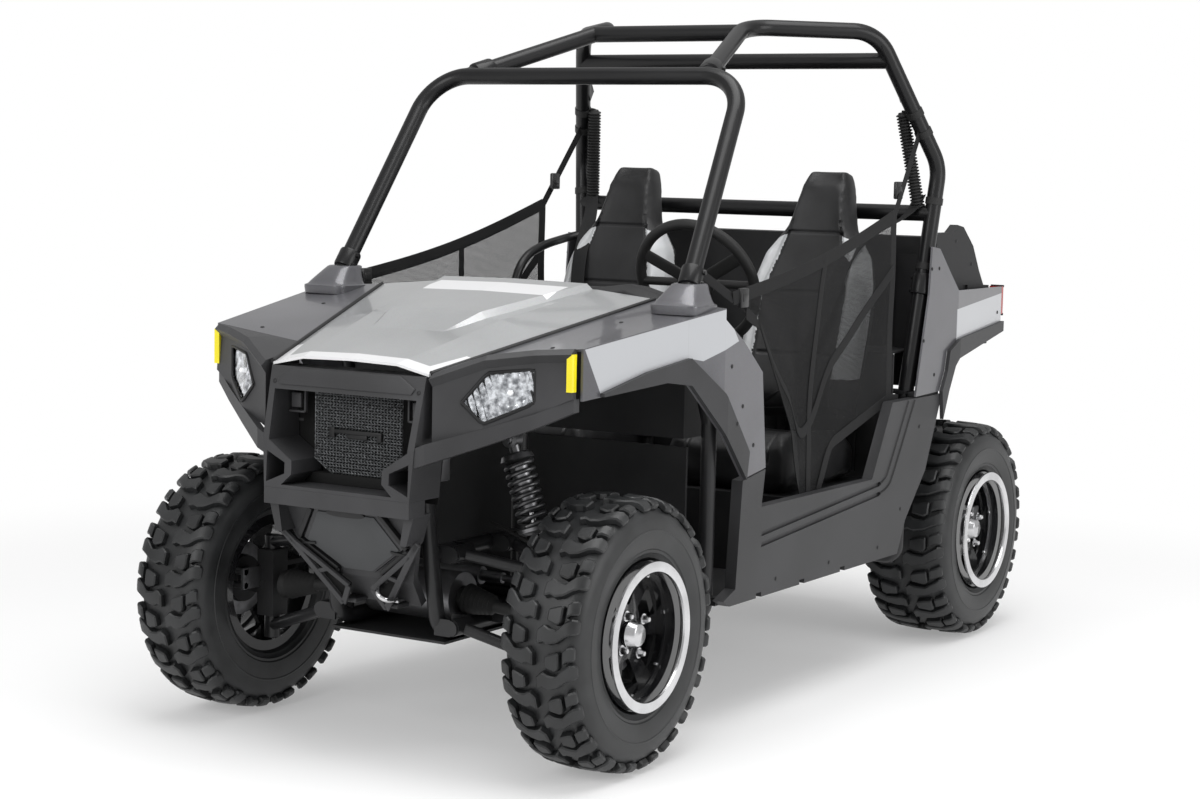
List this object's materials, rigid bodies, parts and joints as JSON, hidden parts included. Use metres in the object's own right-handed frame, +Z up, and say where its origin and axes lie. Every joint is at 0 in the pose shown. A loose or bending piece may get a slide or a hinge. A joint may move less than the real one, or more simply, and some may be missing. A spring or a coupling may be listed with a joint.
{
  "type": "side by side utility vehicle",
  "caption": "Two-seat off-road side by side with tubular roll cage, silver hood, grey fenders, lugged tyres, side nets and a rear cargo box.",
  "frame": {"origin": "on the floor under the middle of the vehicle's length and width", "axes": "+X forward, +Y to the driver's side (left), +Z up"},
  "size_m": [2.6044, 1.27, 1.7722],
  "materials": {
    "wheel_black": "gloss black cast wheel",
    "tyre_rubber": "matt moulded rubber",
    "cast_steel": "rough casting",
    "bar_steel": "plated bar",
    "cast_aluminium": "cast, satin",
    "frame_paint": "satin black powder coat",
    "shock_steel": "coil over damper",
    "boot_rubber": "rubber boots on a steel shaft",
    "skid_plastic": "moulded sheet",
    "cage_gloss": "gloss black tube",
    "panel_silver": "metallic silver",
    "panel_grey": "metallic warm grey",
    "dark_plastic": "grained charcoal plastic",
    "inner_plastic": "grained black plastic",
    "grille_mesh": "open screen",
    "lamp_clear": "clear lens over a bright reflector",
    "lamp_amber": "yellow lens",
    "lamp_red": "red lens",
    "seat_vinyl": "black vinyl with light side panels",
    "net_webbing": "open mesh with webbing borders",
    "muffler_steel": "heat stained steel",
    "grip_rubber": "soft black grip"
  },
  "bodies": {
    "chassis": {"arch_flares": "dark_plastic", "cab_floor": "inner_plastic", "cage_crossbars": "cage_gloss", "cage_front_hoop": "cage_gloss", "cage_side_left": "cage_gloss", "cage_side_right": "cage_gloss", "cage_towers": "frame_paint", "cargo_box": "inner_plastic", "dash": "inner_plastic", "engine": "cast_aluminium", "final_drives": "cast_aluminium", "frame": "frame_paint", "frame_crossmembers": "frame_paint", "front_arms": "frame_paint", "front_bumper": "dark_plastic", "front_fascia": "dark_plastic", "front_fenders": "panel_grey", "front_shocks": "shock_steel", "grille_screen": "grille_mesh", "half_shafts": "boot_rubber", "headlamps": "lamp_clear", "hood": "panel_silver", "hoop_boots": "panel_grey", "lamp_pods": "dark_plastic", "marker_lamps": "lamp_amber", "muffler": "muffler_steel", "rack_housing": "cast_aluminium", "radiator": "cast_aluminium", "rear_arms": "frame_paint", "rear_carriers": "cast_steel", "rear_fenders": "panel_grey", "rear_shocks": "shock_steel", "rockers": "dark_plastic", "seat_backs": "seat_vinyl", "seat_cushions": "seat_vinyl", "seat_platform": "inner_plastic", "side_net_left": "net_webbing", "side_net_right": "net_webbing", "skid_plate": "skid_plastic", "steering_column": "grip_rubber", "tail_lamps": "lamp_red"},
    "wheel_front_left": {"rim_front_left": "wheel_black", "tyre_front_left": "tyre_rubber"},
    "wheel_front_right": {"rim_front_right": "wheel_black", "tyre_front_right": "tyre_rubber"},
    "wheel_rear_left": {"rim_rear_left": "wheel_black", "tyre_rear_left": "tyre_rubber"},
    "wheel_rear_right": {"rim_rear_right": "wheel_black", "tyre_rear_right": "tyre_rubber"},
    "knuckle_body_left": {"knuckle_left": "cast_steel"},
    "knuckle_body_right": {"knuckle_right": "cast_steel"},
    "rack_bar": {"steering_rack": "bar_steel"},
    "hand_wheel": {"steering_wheel": "grip_rubber"}
  },
  "joints": [
    {"name": "steer_left", "type": "hinge", "parent": "chassis", "child": "knuckle_body_left", "pos_m": [0.974, 0.455, 0.3175], "axis": [0, 0, 1], "range_deg": [-30, 30]},
    {"name": "spin_front_left", "type": "hinge", "parent": "knuckle_body_left", "child": "wheel_front_left", "pos_m": [0.974, 0.5335, 0.3175], "axis": [0, 1, 0], "continuous": true},
    {"name": "spin_rear_left", "type": "hinge", "parent": "chassis", "child": "wheel_rear_left", "pos_m": [-0.982, 0.508, 0.3175], "axis": [0, 1, 0], "continuous": true},
    {"name": "steer_right", "type": "hinge", "parent": "chassis", "child": "knuckle_body_right", "pos_m": [0.974, -0.455, 0.3175], "axis": [0, 0, 1], "range_deg": [-30, 30]},
    {"name": "spin_front_right", "type": "hinge", "parent": "knuckle_body_right", "child": "wheel_front_right", "pos_m": [0.974, -0.5335, 0.3175], "axis": [0, 1, 0], "continuous": true},
    {"name": "spin_rear_right", "type": "hinge", "parent": "chassis", "child": "wheel_rear_right", "pos_m": [-0.982, -0.508, 0.3175], "axis": [0, 1, 0], "continuous": true},
    {"name": "rack_slide", "type": "slide", "parent": "chassis", "child": "rack_bar", "axis": [0, 1, 0], "range_m": [-0.05, 0.05]},
    {"name": "hand_wheel_turn", "type": "hinge", "parent": "chassis", "child": "hand_wheel", "pos_m": [0.225, 0.318, 1.075], "axis": [-0.9135, 0, 0.4067], "range_deg": [-240, 240]}
  ],
  "couplings": [
    {"joint": "steer_right", "follows": "steer_left", "ratio": 1},
    {"joint": "rack_slide", "follows": "steer_left", "m_per_rad": -0.0936},
    {"joint": "hand_wheel_turn", "follows": "steer_left", "ratio": 8}
  ]
}
